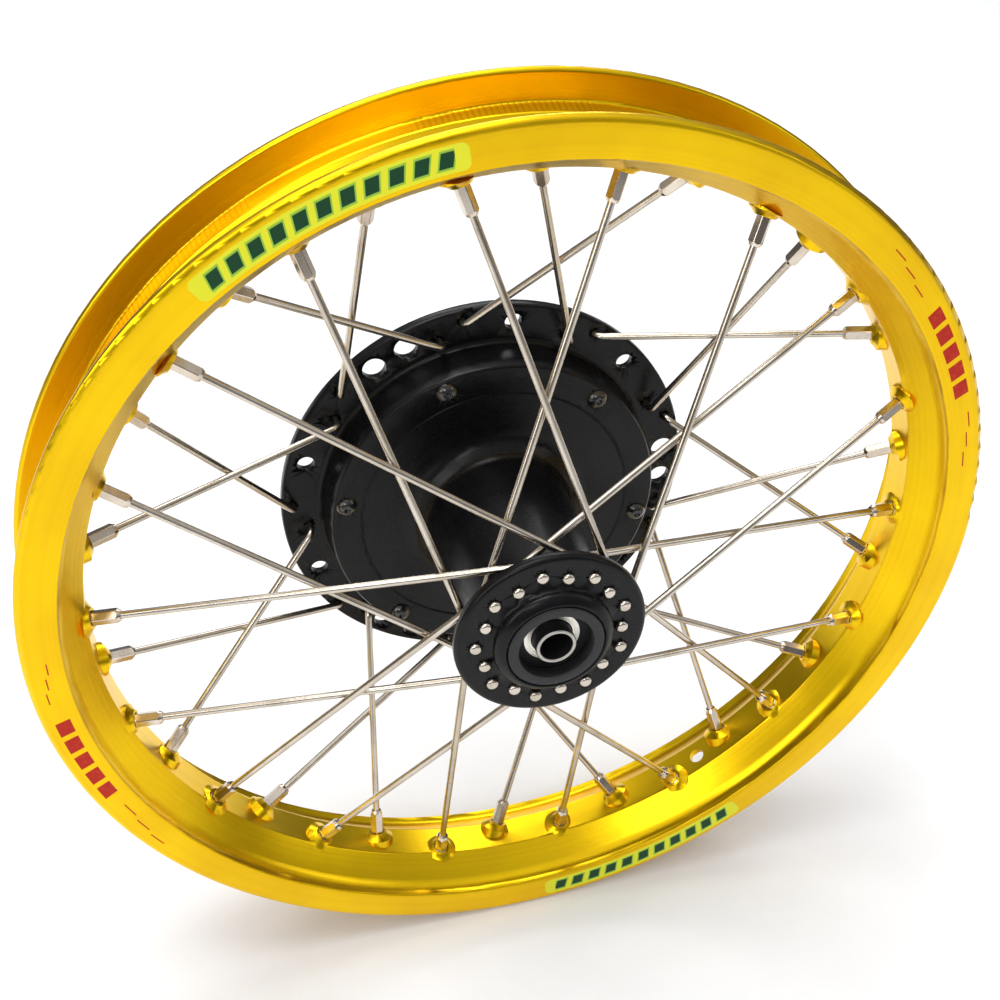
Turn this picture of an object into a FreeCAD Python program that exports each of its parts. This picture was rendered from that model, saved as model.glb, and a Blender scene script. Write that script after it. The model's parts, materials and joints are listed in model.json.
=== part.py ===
import FreeCAD, Part
import math
import os
import re
import Sketcher

# A laced motorcycle wheel, upright, with its axle line along Y and the origin at the wheel's centre.
# The small spoke flange is on the -Y side, the drum and its large flange on the +Y side.
# Angles go from +X towards +Z, so they run anticlockwise as seen from the -Y side.

DIMENSIONS = {
    # rim section
    "crestRadius": 232.3,
    "sidewallRadius": 215.0,
    "rimWidth": 58.1,
    "insideWidth": 47.1,
    "beadSeatRadius": 218.3,
    "bedRadius": 203.0,
    "bedThickness": 3.2,
    "bedHalfWidth": 9.0,
    "shelfRadius": 213.8,
    "shelfHalfWidth": 19.5,
    "grooveDepth": 1.2,
    "sidewallEdge": 1.2,
    "lipOutsideRound": 3.3,
    "lipInsideRound": 2.0,
    "sectionRound": 1.5,
    "valveHoleRadius": 4.2,
    # nipple bosses and nipples
    "bossBaseRadius": 8.4,
    "bossShoulderRadius": 6.5,
    "bossShoulder": 1.3,
    "bossTipRadius": 5.0,
    "bossRise": 2.8,
    "nippleHoleRadius": 3.75,
    "seatRadius": 5.05,
    "seatDepth": 5.2,
    "nippleNeckRadius": 3.1,
    "nippleFlats": 6.3,
    "nippleReach": 16.0,
    "nippleBoreRadius": 1.82,
    "hexSunk": 0.4,
    "noseLength": 2.6,
    # spokes
    "spokeRadius": 1.75,
    "headRadius": 3.0,
    "headHeight": 2.1,
    "headRound": 1.7,
    "elbowRadius": 5.0,
    "spokeHoleRadius": 2.0,
    # hub
    "mouthFace": -69.5,
    "smallFace": -62.0,
    "smallThickness": 5.0,
    "smallRadius": 45.5,
    "smallRound": 2.6,
    "mouthRound": 3.0,
    "barrelSmallRadius": 30.0,
    "barrelLargeRadius": 36.8,
    "bellRadius": 43.5,
    "drumFace": 37.5,
    "drumRadius": 86.0,
    "drumWall": 4.0,
    "webThickness": 6.5,
    "largeFace": 57.5,
    "largeThickness": 6.0,
    "largeRadius": 106.0,
    "coreRadius": 31.0,
    "barrelRound": 9.0,
    "drumRootRound": 2.5,
    "coreRound": 3.0,
    "reliefDepth": 1.8,
    "boreRadius": 17.0,
    "farMouthFace": 69.5,
    # fasteners
    "screwCircle": 77.4,
    "screwRadius": 2.5,
    "screwHeadRadius": 5.25,
    "screwHeadHeight": 3.3,
    "screwLength": 17.5,
    "socketRadius": 1.75,
    "socketDepth": 1.8,
    # bearings
    "bearingBore": 10.0,
    "bearingOuter": 21.0,
    "bearingWidth": 12.0,
    "bearingFace": 62.0,
    "ballRadius": 3.175,
    "ballCircle": 15.5,
    "grooveRadius": 3.25,
    "innerShoulder": 13.2,
    "outerShoulder": 18.2,
    "shieldThickness": 1.0,
    "cageHalfThickness": 1.1,
    "cageWidth": 8.6,
    # axle clearance and retaining rings
    "axleRadius": 7.65,
    "sleeveEndRadius": 9.5,
    "ringInner": 17.6,
    "ringOuter": 22.8,
    # disc carrier
    "carrierBore": 32.0,
    "carrierRadius": 86.0,
    "carrierThickness": 5.0,
    "postCircle": 76.4,
    "postRadius": 4.6,
    "tappedDepth": 16.0,
    "discBoltCircle": 55.0,
    "discBoltRadius": 4.1,
}

# Each family has nine spokes, 40 degrees apart. "hub_angle" is the first flange hole, "lead" is how far
# round the rim its nipple lies from there, "throat" is the straight part before the elbow, and "row" is
# the nipple's distance from the middle of the rim. Throats and rows differ so that crossing spokes clear.
FAMILY_COUNT = 9
FAMILIES = {
    "small_a": {"side": -1, "hole_circle": 33.4, "hub_angle": -1.7, "lead": -80.8, "throat": 4.6, "row": -3.1},
    "small_b": {"side": -1, "hole_circle": 35.9, "hub_angle": 18.2, "lead": 79.3, "throat": 0.3, "row": -6.0},
    "large_a": {"side": 1, "hole_circle": 100.0, "hub_angle": 16.4, "lead": -28.9, "throat": 0.3, "row": 5.7},
    "large_b": {"side": 1, "hole_circle": 93.0, "hub_angle": 23.9, "lead": 23.6, "throat": 3.8, "row": 3.3},
}
SPOKE_END = 2.0            # how far a spoke runs into its nipple past the rim bed
BOSS_SUNK = 6.0            # how far a boss's cone starts outside the rim bed
VALVE_ANGLE = 302.5
SCREW_COUNT = 6
SCREW_ANGLE = 48.1
BALL_COUNT = 9
DISC_BOLT_COUNT = 6
LIGHTENING_HOLES = [(41.5 + 40.0 * step, 4.5) for step in (0, 1, 3, 4, 6, 7)]
PAIRED_HOLES = [(119.1 + 120.0 * step + offset, 6.0) for step in range(3) for offset in (-5.4, 5.4)]
HOLE_CIRCLE = 96.5
RELIEF_HALF_WIDTH = 2.6
RELIEF_LENGTH = 5.0

os.makedirs("parts", exist_ok=True)
doc = FreeCAD.newDocument("spoked_wheel")
Y_AXIS = FreeCAD.Vector(0, 1, 0)


def make_sheet():
    sheet = doc.addObject("Spreadsheet::Sheet", "Dims")
    for row, (name, value) in enumerate(DIMENSIONS.items(), start=1):
        sheet.set("A%d" % row, name)
        sheet.set("B%d" % row, str(value))
        sheet.setAlias("B%d" % row, name)
    doc.recompute()
    return sheet


def size(expression):
    """The value of an expression written with the sheet's names."""
    numbers = re.sub(r"[A-Za-z]+", lambda word: "(%r)" % DIMENSIONS[word.group()], expression)
    return FreeCAD.Units.Quantity(numbers).Value


def bound(expression):
    """The same expression, pointing at the sheet."""
    return re.sub(r"[A-Za-z]+", lambda word: "Dims." + word.group(), expression)


def origin_feature(body, role):
    for feature in body.Origin.OriginFeatures:
        if feature.Role == role:
            return feature
    raise ValueError(role)


def new_sketch(body, name, plane, offset=0.0):
    sketch = body.newObject("Sketcher::SketchObject", name)
    sketch.AttachmentSupport = [(origin_feature(body, plane), "")]
    sketch.MapMode = "FlatFace"
    sketch.AttachmentOffset = FreeCAD.Placement(FreeCAD.Vector(0, 0, offset), FreeCAD.Rotation())
    return sketch


def pin_point(sketch, geometry, position, across, up):
    """Holds one sketch point at a place given by two expressions."""
    for kind, expression, axis in (("DistanceX", across, -2), ("DistanceY", up, -1)):
        if expression == "0":
            sketch.addConstraint(Sketcher.Constraint("PointOnObject", geometry, position, axis))
            continue
        index = sketch.addConstraint(
            Sketcher.Constraint(kind, -1, 1, geometry, position, size(expression)))
        sketch.setExpression("Constraints[%d]" % index, bound(expression))


def draw_outline(sketch, points):
    """A closed outline of straight sides through points given as pairs of expressions."""
    places = [FreeCAD.Vector(size(across), size(up), 0) for across, up in points]
    for index, place in enumerate(places):
        following = places[(index + 1) % len(places)]
        sketch.addGeometry(Part.LineSegment(place, following), False)
    for index, (across, up) in enumerate(points):
        previous = (index - 1) % len(points)
        sketch.addConstraint(Sketcher.Constraint("Coincident", previous, 2, index, 1))
        pin_point(sketch, index, 1, across, up)


def turned_body(name, points):
    """A solid turned about the wheel's axle line from an outline of (along the axle, radius) points."""
    body = doc.addObject("PartDesign::Body", name)
    body.Label = name
    section = new_sketch(body, name + "_section", "YZ_Plane")
    draw_outline(section, points)
    turned = body.newObject("PartDesign::Revolution", name + "_turned")
    turned.Profile = section
    turned.ReferenceAxis = (section, ["H_Axis"])
    turned.Angle = 360
    section.Visibility = False
    doc.recompute()
    return body


def ring_edges(shape, radius, along):
    """Names of the circular edges about the axle line with this radius at this place along it."""
    names = []
    for index, edge in enumerate(shape.Edges, start=1):
        curve = edge.Curve
        if not hasattr(curve, "Radius") or abs(curve.Radius - radius) > 0.01:
            continue
        if abs(curve.Center.y - along) < 0.01 and abs(abs(curve.Axis.y) - 1) < 0.001:
            names.append("Edge%d" % index)
    return names


def round_edges(body, name, places, radius):
    """Fillets the ring edges at the given (along the axle, radius) places."""
    names = []
    for along, ring_radius in places:
        names += ring_edges(body.Shape, size(ring_radius), size(along))
    if len(names) < len(places):
        raise ValueError("%s finds %d of %d edges" % (name, len(names), len(places)))
    base = body.Tip
    fillet = body.newObject("PartDesign::Fillet", name)
    fillet.Base = (base, names)
    fillet.setExpression("Radius", bound(radius))
    body.Tip = fillet
    doc.recompute()


def cut_and_repeat(body, name, sketch, depth, count, towards):
    """Pockets a sketch of the XZ plane towards +Y (1) or -Y (-1) and repeats it about the axle line."""
    before = body.Shape.Volume
    pocket = body.newObject("PartDesign::Pocket", name)
    pocket.Profile = sketch
    pocket.Length = depth
    pocket.Reversed = towards < 0
    sketch.Visibility = False
    doc.recompute()
    if body.Shape.Volume >= before - 0.1:
        raise ValueError(name + " cuts nothing")
    if count > 1:
        pattern = body.newObject("PartDesign::PolarPattern", name + "_pattern")
        pattern.Originals = [pocket]
        pattern.Axis = (origin_feature(body, "Y_Axis"), [""])
        pattern.Angle = 360
        pattern.Occurrences = count
        body.Tip = pattern
        doc.recompute()


def polar(radius, angle):
    turn = math.radians(angle)
    return radius * math.cos(turn), radius * math.sin(turn)


def hole_ring(body, name, face, depth, circle, angle, radius, count, towards=1):
    """A ring of round holes that start at a place along the axle line."""
    sketch = new_sketch(body, name + "_sketch", "XZ_Plane", -face)
    across, up = polar(circle, angle)
    sketch.addGeometry(Part.Circle(FreeCAD.Vector(across, up, 0), FreeCAD.Vector(0, 0, 1), radius), False)
    sketch.addConstraint(Sketcher.Constraint("Radius", 0, radius))
    sketch.addConstraint(Sketcher.Constraint("DistanceX", -1, 1, 0, 3, across))
    sketch.addConstraint(Sketcher.Constraint("DistanceY", -1, 1, 0, 3, up))
    cut_and_repeat(body, name, sketch, depth, count, towards)


def turned_copy(shape, angle):
    """A copy of a shape turned about the axle line."""
    copy = shape.copy()
    copy.rotate(FreeCAD.Vector(0, 0, 0), Y_AXIS, -angle)
    return copy


def ring_group(name, shape, count, step=None):
    """A group of separate copies of one shape, evenly spaced about the axle line."""
    step = step or 360.0 / count
    group = doc.addObject("Part::Feature", name)
    group.Label = name
    group.Shape = Part.makeCompound([turned_copy(shape, step * index) for index in range(count)])
    group.Placement = FreeCAD.Placement()
    return group


def spoke_line(family):
    """Where a family's first spoke runs: its flange hole, its direction and its end inside the nipple."""
    inboard = FreeCAD.Vector(0, -family["side"], 0)
    face = size("smallFace+smallThickness") if family["side"] < 0 else size("largeFace")
    across, up = polar(family["hole_circle"], family["hub_angle"])
    hole = FreeCAD.Vector(across, face, up)
    rim_across, rim_up = polar(size("bedRadius"), family["hub_angle"] + family["lead"])
    nipple = FreeCAD.Vector(rim_across, family["row"], rim_up)
    sideways = FreeCAD.Vector(rim_across - across, 0, rim_up - up)
    reach = sideways.Length
    sideways.normalize()
    drop = (nipple - hole).dot(inboard)
    elbow = size("elbowRadius")
    # the run is the tangent from the nipple to the elbow's circle
    from_centre = (reach - elbow, drop - family["throat"])
    run = math.sqrt(from_centre[0] ** 2 + from_centre[1] ** 2 - elbow ** 2)
    bend = math.atan2(from_centre[0], from_centre[1]) + math.atan2(elbow, run)
    direction = sideways * math.sin(bend) + inboard * math.cos(bend)
    return {
        "hole": hole, "inboard": inboard, "sideways": sideways, "nipple": nipple,
        "direction": direction, "bend": bend, "run": run, "throat": family["throat"],
        "thickness": size("smallThickness") if family["side"] < 0 else size("largeThickness"),
    }


def spoke_body(name, line, turn):
    """One spoke: a dome head outside the flange, a straight throat, an elbow and a straight run."""
    body = doc.addObject("PartDesign::Body", name)
    body.Label = name
    head_face = -line["thickness"]
    elbow = size("elbowRadius")
    throat = line["throat"]
    bend = line["bend"]
    length = line["run"] + SPOKE_END

    path = new_sketch(body, name + "_path", "XZ_Plane")
    elbow_end = FreeCAD.Vector(elbow * (1 - math.cos(bend)), throat + elbow * math.sin(bend), 0)
    far_end = elbow_end + FreeCAD.Vector(math.sin(bend), math.cos(bend), 0) * length
    bottom = FreeCAD.Vector(0, head_face - 0.5, 0)
    top = FreeCAD.Vector(0, throat, 0)
    path.addGeometry(Part.LineSegment(bottom, top), False)
    circle = Part.Circle(FreeCAD.Vector(elbow, throat, 0), FreeCAD.Vector(0, 0, 1), elbow)
    path.addGeometry(Part.ArcOfCircle(circle, math.pi - bend, math.pi), False)
    path.addGeometry(Part.LineSegment(elbow_end, far_end), False)
    path.addConstraint(Sketcher.Constraint("PointOnObject", 0, 1, -2))
    path.addConstraint(Sketcher.Constraint("DistanceY", -1, 1, 0, 1, bottom.y))
    path.addConstraint(Sketcher.Constraint("PointOnObject", 0, 2, -2))
    path.addConstraint(Sketcher.Constraint("DistanceY", -1, 1, 0, 2, throat))
    path.addConstraint(Sketcher.Constraint("Tangent", 0, 2, 1, 2))
    path.addConstraint(Sketcher.Constraint("Tangent", 1, 1, 2, 1))
    radius = path.addConstraint(Sketcher.Constraint("Radius", 1, elbow))
    path.setExpression("Constraints[%d]" % radius, bound("elbowRadius"))
    path.addConstraint(Sketcher.Constraint("DistanceX", -1, 1, 2, 2, far_end.x))
    path.addConstraint(Sketcher.Constraint("DistanceY", -1, 1, 2, 2, far_end.y))

    section = new_sketch(body, name + "_section", "XY_Plane", bottom.y)
    section.addGeometry(
        Part.Circle(FreeCAD.Vector(0, 0, 0), FreeCAD.Vector(0, 0, 1), size("spokeRadius")), False)
    section.addConstraint(Sketcher.Constraint("Coincident", 0, 3, -1, 1))
    width = section.addConstraint(Sketcher.Constraint("Radius", 0, size("spokeRadius")))
    section.setExpression("Constraints[%d]" % width, bound("spokeRadius"))

    wire = body.newObject("PartDesign::AdditivePipe", name + "_wire")
    wire.Profile = section
    wire.Spine = (path, ["Edge1", "Edge2", "Edge3"])
    path.Visibility = False
    section.Visibility = False
    doc.recompute()

    head = new_sketch(body, name + "_head", "XZ_Plane")
    outline = [
        ("0", "%r-headHeight" % head_face),
        ("headRadius", "%r-headHeight" % head_face),
        ("headRadius", "%r" % head_face),
        ("0", "%r" % head_face),
    ]
    draw_outline(head, outline)
    dome = body.newObject("PartDesign::Revolution", name + "_dome")
    dome.Profile = head
    dome.ReferenceAxis = (head, ["V_Axis"])
    dome.Angle = 360
    head.Visibility = False
    doc.recompute()
    rounded = body.newObject("PartDesign::Fillet", name + "_crown")
    rounded.Base = (dome, crown_edges(body.Shape, head_face - size("headHeight")))
    rounded.setExpression("Radius", bound("headRound"))
    body.Tip = rounded

    place = FreeCAD.Placement(line["hole"], FreeCAD.Rotation(
        line["sideways"], line["inboard"].cross(line["sideways"]), line["inboard"], "ZXY"))
    body.Placement = FreeCAD.Placement(FreeCAD.Vector(0, 0, 0), FreeCAD.Rotation(Y_AXIS, -turn)) * place
    return body


def crown_edges(shape, level):
    """The round edge of a spoke head's top."""
    names = []
    for index, edge in enumerate(shape.Edges, start=1):
        box = edge.BoundBox
        if abs(box.ZMin - level) < 0.001 and abs(box.ZMax - level) < 0.001 and hasattr(edge.Curve, "Radius"):
            names.append("Edge%d" % index)
    return names


def along_nipple(line, distance):
    """A point on a nipple's axis, so far from the rim bed towards the hub."""
    return line["nipple"] - line["direction"] * distance


def seat_distance(line):
    """How far along a leaning nipple's axis its seat is, for the same depth under the rim bed."""
    outward = FreeCAD.Vector(line["nipple"].x, 0, line["nipple"].z).normalize()
    return -size("seatDepth") / line["direction"].dot(outward)


def nipple_axis(line):
    """A rotation that points Z from the rim towards the hub."""
    return FreeCAD.Rotation(FreeCAD.Vector(0, 0, 1), line["direction"] * -1)


def rim_bosses(name, line):
    """A family's nine low raised bosses, trimmed so that they stay out of the tyre well."""
    outline = [("0", -BOSS_SUNK), ("bossBaseRadius", -BOSS_SUNK), ("bossBaseRadius", 0.0),
               ("bossShoulderRadius", size("bossShoulder")), ("bossTipRadius", size("bossRise")),
               ("0", size("bossRise")), ("0", -BOSS_SUNK)]
    corners = [FreeCAD.Vector(size(across), 0, height) for across, height in outline]
    mound = Part.Face(Part.makePolygon(corners)).revolve(
        FreeCAD.Vector(0, 0, 0), FreeCAD.Vector(0, 0, 1), 360)
    mound.Placement = FreeCAD.Placement(line["nipple"], nipple_axis(line))
    limit = Part.makeCylinder(size("bedRadius+bedThickness/2"), 40, FreeCAD.Vector(0, -20, 0), Y_AXIS)
    return ring_group(name + "_bosses", mound.common(limit), FAMILY_COUNT)


def rim_cuts(name, line):
    """A family's nine nipple holes, each with its round seat on the tyre side."""
    seat = doc.addObject("Part::Sphere", name + "_seat")
    seat.setExpression("Radius", bound("seatRadius"))
    seat.Placement = FreeCAD.Placement(along_nipple(line, seat_distance(line)), FreeCAD.Rotation())
    hole = doc.addObject("Part::Cylinder", name + "_hole")
    hole.setExpression("Radius", bound("nippleHoleRadius"))
    hole.setExpression("Height", bound("bossRise+%r" % (BOSS_SUNK + 2)))
    hole.Placement = FreeCAD.Placement(along_nipple(line, -BOSS_SUNK), nipple_axis(line))
    both = doc.addObject("Part::Fuse", name + "_hole_and_seat")
    both.Base = seat
    both.Tool = hole
    doc.recompute()
    return ring_group(name + "_cuts", both.Shape, FAMILY_COUNT)


def make_rim(lines):
    half = "rimWidth/2"
    well = "bedRadius+bedThickness"
    side_points = [
        ("bedHalfWidth", "bedRadius"),
        ("shelfHalfWidth", "shelfRadius-1.9"),
        ("shelfHalfWidth+3", "shelfRadius+grooveDepth"),
        (half + "-sidewallEdge-1.4", "shelfRadius+grooveDepth"),
        (half + "-sidewallEdge", "shelfRadius"),
        (half, "sidewallRadius"),
        (half, "crestRadius"),
        ("insideWidth/2", "crestRadius"),
        ("insideWidth/2", "beadSeatRadius"),
        ("bedHalfWidth+6.5", "beadSeatRadius-1.4"),
        ("bedHalfWidth-1", well),
    ]
    points = side_points + [("-(%s)" % across, up) for across, up in reversed(side_points)]
    hoop = turned_body("rim_hoop", points)
    round_edges(hoop, "lip_outside", [(half, "crestRadius"), ("-" + half, "crestRadius")], "lipOutsideRound")
    round_edges(hoop, "lip_inside", [("insideWidth/2", "crestRadius"), ("-insideWidth/2", "crestRadius")],
                "lipInsideRound")
    corners = [("insideWidth/2", "beadSeatRadius"), ("bedHalfWidth+6.5", "beadSeatRadius-1.4"),
               ("bedHalfWidth-1", well), ("shelfHalfWidth", "shelfRadius-1.9"), ("bedHalfWidth", "bedRadius")]
    both_sides = corners + [("-(%s)" % across, up) for across, up in corners]
    round_edges(hoop, "section_rounds", both_sides, "sectionRound")

    bossed = doc.addObject("Part::MultiFuse", "bossed_hoop")
    bossed.Shapes = [hoop] + [rim_bosses(name, line) for name, line in lines.items()]
    valve = doc.addObject("Part::Cylinder", "valve_hole")
    valve.setExpression("Radius", bound("valveHoleRadius"))
    valve.Height = 20
    across, up = polar(size("bedRadius-5"), VALVE_ANGLE)
    outward = FreeCAD.Vector(across, 0, up).normalize()
    valve.Placement = FreeCAD.Placement(
        FreeCAD.Vector(across, 0, up), FreeCAD.Rotation(FreeCAD.Vector(0, 0, 1), outward))
    cuts = doc.addObject("Part::Compound", "rim_cuts")
    cuts.Links = [rim_cuts(name, line) for name, line in lines.items()] + [valve]
    rim = doc.addObject("Part::Cut", "rim")
    rim.Base = bossed
    rim.Tool = cuts
    rim.Label = "rim"
    doc.recompute()
    return rim


def make_nipple(name, line):
    """One nipple of a family: round seat head, neck and hexagon body, bored for the spoke."""
    centre = seat_distance(line)
    head_radius = size("seatRadius") - 0.05
    flats = size("nippleFlats")
    head = Part.makeSphere(head_radius, FreeCAD.Vector(0, 0, centre))
    keep = Part.makeCylinder(head_radius + 1, head_radius + 1.2, FreeCAD.Vector(0, 0, centre - 1.2))
    head = head.common(keep)
    neck_end = size("bossRise-hexSunk")
    neck = Part.makeCylinder(size("nippleNeckRadius"), neck_end - centre, FreeCAD.Vector(0, 0, centre))
    collar = Part.makeCone(size("nippleNeckRadius"), flats * 0.56, 1.0, FreeCAD.Vector(0, 0, neck_end - 1.0))
    corners = [FreeCAD.Vector(*polar(flats / math.sqrt(3), 60 * index), neck_end) for index in range(7)]
    body_length = size("nippleReach") - neck_end
    hexagon = Part.Face(Part.makePolygon(corners)).extrude(FreeCAD.Vector(0, 0, body_length))
    turned = Part.makeCylinder(flats * 0.56, body_length, FreeCAD.Vector(0, 0, neck_end))
    nose = Part.makeCone(flats * 0.62, flats * 0.40, size("noseLength"),
                         FreeCAD.Vector(0, 0, size("nippleReach-noseLength")))
    straight = Part.makeCylinder(
        flats * 0.62, body_length - size("noseLength"), FreeCAD.Vector(0, 0, neck_end))
    pointed = straight.fuse(nose)
    solid = head.fuse([neck, collar, hexagon.common(turned).common(pointed)])
    bore = Part.makeCylinder(size("nippleBoreRadius"), size("nippleReach") + SPOKE_END + 1.5,
                             FreeCAD.Vector(0, 0, -SPOKE_END - 0.5))
    solid = solid.cut(bore).removeSplitter()
    solid.Placement = FreeCAD.Placement(line["nipple"], nipple_axis(line))
    return solid


def make_nipples(name, first, second):
    group = doc.addObject("Part::Feature", name)
    group.Label = name
    solids = []
    for nipple in (first, second):
        solids += [turned_copy(nipple, 360.0 / FAMILY_COUNT * index) for index in range(FAMILY_COUNT)]
    group.Shape = Part.makeCompound(solids)
    group.Placement = FreeCAD.Placement()
    return group


def make_hub(lines):
    face = "drumFace"
    cavity = "drumFace+webThickness"
    back = "largeFace+largeThickness"
    seat_end = "bearingFace-bearingWidth"
    points = [
        ("mouthFace", "ringOuter+0.05"),
        ("mouthFace", "ringOuter+1.8"),
        ("mouthFace+3", "ringOuter+5.4"),
        ("smallFace", "ringOuter+5.8"),
        ("smallFace", "smallRadius"),
        ("smallFace+smallThickness-0.5", "smallRadius"),
        ("smallFace+smallThickness", "smallRadius-0.5"),
        ("smallFace+smallThickness", "barrelSmallRadius"),
        ("drumFace-7.5", "barrelLargeRadius"),
        (face + "-1", "bellRadius"),
        (face, "bellRadius+6"),
        (face, "drumRadius-17.8"),
        (face + "+1.1", "drumRadius-17.8"),
        (face + "+1.1", "drumRadius-16.4"),
        (face, "drumRadius-16.4"),
        (face, "drumRadius-3.5"),
        (face + "+1.5", "drumRadius-2"),
        ("largeFace", "drumRadius"),
        ("largeFace", "largeRadius-1.2"),
        ("largeFace+1.2", "largeRadius"),
        (back + "-0.6", "largeRadius"),
        (back, "largeRadius-0.6"),
        (back, "drumRadius-drumWall"),
        (cavity, "drumRadius-drumWall-0.8"),
        (cavity, "coreRadius"),
        ("farMouthFace", "coreRadius"),
        ("farMouthFace", "ringOuter+0.05"),
        ("bearingFace", "ringOuter+0.05"),
        ("bearingFace", "bearingOuter"),
        (seat_end, "bearingOuter"),
        (seat_end, "boreRadius"),
        ("-(%s)" % seat_end, "boreRadius"),
        ("-(%s)" % seat_end, "bearingOuter"),
        ("-bearingFace", "bearingOuter"),
        ("-bearingFace", "ringOuter+0.05"),
    ]
    hub = turned_body("hub_body", points)
    round_edges(hub, "flange_round", [("smallFace", "smallRadius")], "smallRound")
    round_edges(hub, "mouth_round", [("mouthFace+3", "ringOuter+5.4")], "mouthRound")
    round_edges(hub, "barrel_rounds", [("drumFace-7.5", "barrelLargeRadius")], "barrelRound")
    round_edges(hub, "drum_root", [("largeFace", "drumRadius")], "drumRootRound")
    round_edges(hub, "core_round", [(cavity, "coreRadius")], "coreRound")
    for name, family in FAMILIES.items():
        small = family["side"] < 0
        start = size("smallFace") - 1 if small else size("largeFace") - 1
        depth = size("smallThickness" if small else "largeThickness") + 2
        hole_ring(hub, name + "_holes", start, depth, family["hole_circle"], family["hub_angle"],
                  size("spokeHoleRadius"), FAMILY_COUNT)
        if not small:
            relief_ring(hub, name + "_reliefs", lines[name])
    hole_ring(hub, "screw_holes", size(face) - 1, size("webThickness") + 2, size("screwCircle"),
              SCREW_ANGLE, size("screwRadius") + 0.2, SCREW_COUNT)
    for name, step, holes in (("light_holes", 1, LIGHTENING_HOLES), ("paired_holes", 3, PAIRED_HOLES)):
        for index, (angle, radius) in enumerate(holes):
            hole_ring(hub, "%s_%d" % (name, index), size("largeFace") - 1, size("largeThickness") + 2,
                      HOLE_CIRCLE, angle, radius, 1)
    return hub


def relief_ring(hub, name, line):
    """Shallow round-ended slots in the large flange that give each elbow room towards its nipple."""
    sketch = new_sketch(hub, name + "_sketch", "XZ_Plane", -size("largeFace"))
    start = FreeCAD.Vector(line["hole"].x, line["hole"].z, 0)
    forward = FreeCAD.Vector(line["sideways"].x, line["sideways"].z, 0)
    across = FreeCAD.Vector(-forward.y, forward.x, 0)
    near_left = start + across * RELIEF_HALF_WIDTH
    near_right = start - across * RELIEF_HALF_WIDTH
    far_left = near_left + forward * RELIEF_LENGTH
    far_right = near_right + forward * RELIEF_LENGTH
    back_middle = start - forward * RELIEF_HALF_WIDTH
    front_middle = start + forward * (RELIEF_LENGTH + RELIEF_HALF_WIDTH)
    sketch.addGeometry(Part.LineSegment(near_left, far_left), False)
    sketch.addGeometry(Part.Arc(far_left, front_middle, far_right), False)
    sketch.addGeometry(Part.LineSegment(far_right, near_right), False)
    sketch.addGeometry(Part.Arc(near_right, back_middle, near_left), False)
    cut_and_repeat(hub, name, sketch, size("reliefDepth"), FAMILY_COUNT, 1)


def make_inner_race(name, middle):
    half = "bearingWidth/2"
    body = turned_body(name, [
        ("%r-%s" % (middle, half), "bearingBore"),
        ("%r-%s" % (middle, half), "innerShoulder"),
        ("%r+%s" % (middle, half), "innerShoulder"),
        ("%r+%s" % (middle, half), "bearingBore"),
    ])
    groove_race(body, name, middle)
    return body


def make_outer_race(name, middle):
    half = "bearingWidth/2"
    body = turned_body(name, [
        ("%r-%s" % (middle, half), "outerShoulder"),
        ("%r-%s" % (middle, half), "bearingOuter"),
        ("%r+%s" % (middle, half), "bearingOuter"),
        ("%r+%s" % (middle, half), "outerShoulder"),
    ])
    groove_race(body, name, middle)
    return body


def groove_race(body, name, middle):
    """The round track that the balls run in."""
    before = body.Shape.Volume
    track = new_sketch(body, name + "_track", "YZ_Plane")
    centre = FreeCAD.Vector(middle, size("ballCircle"), 0)
    track.addGeometry(Part.Circle(centre, FreeCAD.Vector(0, 0, 1), size("grooveRadius")), False)
    width = track.addConstraint(Sketcher.Constraint("Radius", 0, size("grooveRadius")))
    track.setExpression("Constraints[%d]" % width, bound("grooveRadius"))
    pin_point(track, 0, 3, "%r" % middle, "ballCircle")
    groove = body.newObject("PartDesign::Groove", name + "_groove")
    groove.Profile = track
    groove.ReferenceAxis = (track, ["H_Axis"])
    groove.Angle = 360
    groove.Midplane = True
    track.Visibility = False
    doc.recompute()
    if body.Shape.Volume >= before - 1:
        raise ValueError(name + " has no track")


def make_balls(name, middle):
    ball = doc.addObject("Part::Sphere", name + "_one")
    ball.setExpression("Radius", bound("ballRadius"))
    ball.Placement = FreeCAD.Placement(FreeCAD.Vector(size("ballCircle"), middle, 0), FreeCAD.Rotation())
    doc.recompute()
    return ring_group(name, ball.Shape, BALL_COUNT)


def make_cage(name, middle):
    """A ring with a round pocket for each ball."""
    outer = doc.addObject("Part::Cylinder", name + "_outside")
    inner = doc.addObject("Part::Cylinder", name + "_inside")
    upright = FreeCAD.Rotation(FreeCAD.Vector(0, 0, 1), Y_AXIS)
    walls = ((outer, "ballCircle+cageHalfThickness", size("cageWidth")),
             (inner, "ballCircle-cageHalfThickness", size("cageWidth") + 2))
    for cylinder, radius, width in walls:
        cylinder.setExpression("Radius", bound(radius))
        cylinder.Height = width
        cylinder.Placement = FreeCAD.Placement(FreeCAD.Vector(0, middle - width / 2, 0), upright)
    band = doc.addObject("Part::Cut", name + "_band")
    band.Base = outer
    band.Tool = inner
    pocket = doc.addObject("Part::Cylinder", name + "_pocket")
    pocket.setExpression("Radius", bound("ballRadius+0.12"))
    pocket.Height = 8
    pocket.Placement = FreeCAD.Placement(
        FreeCAD.Vector(size("ballCircle") - 4, middle, 0),
        FreeCAD.Rotation(FreeCAD.Vector(0, 0, 1), FreeCAD.Vector(1, 0, 0)))
    doc.recompute()
    cage = doc.addObject("Part::Cut", name)
    cage.Base = band
    cage.Tool = ring_group(name + "_pockets", pocket.Shape, BALL_COUNT)
    cage.Label = name
    doc.recompute()
    return cage


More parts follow.
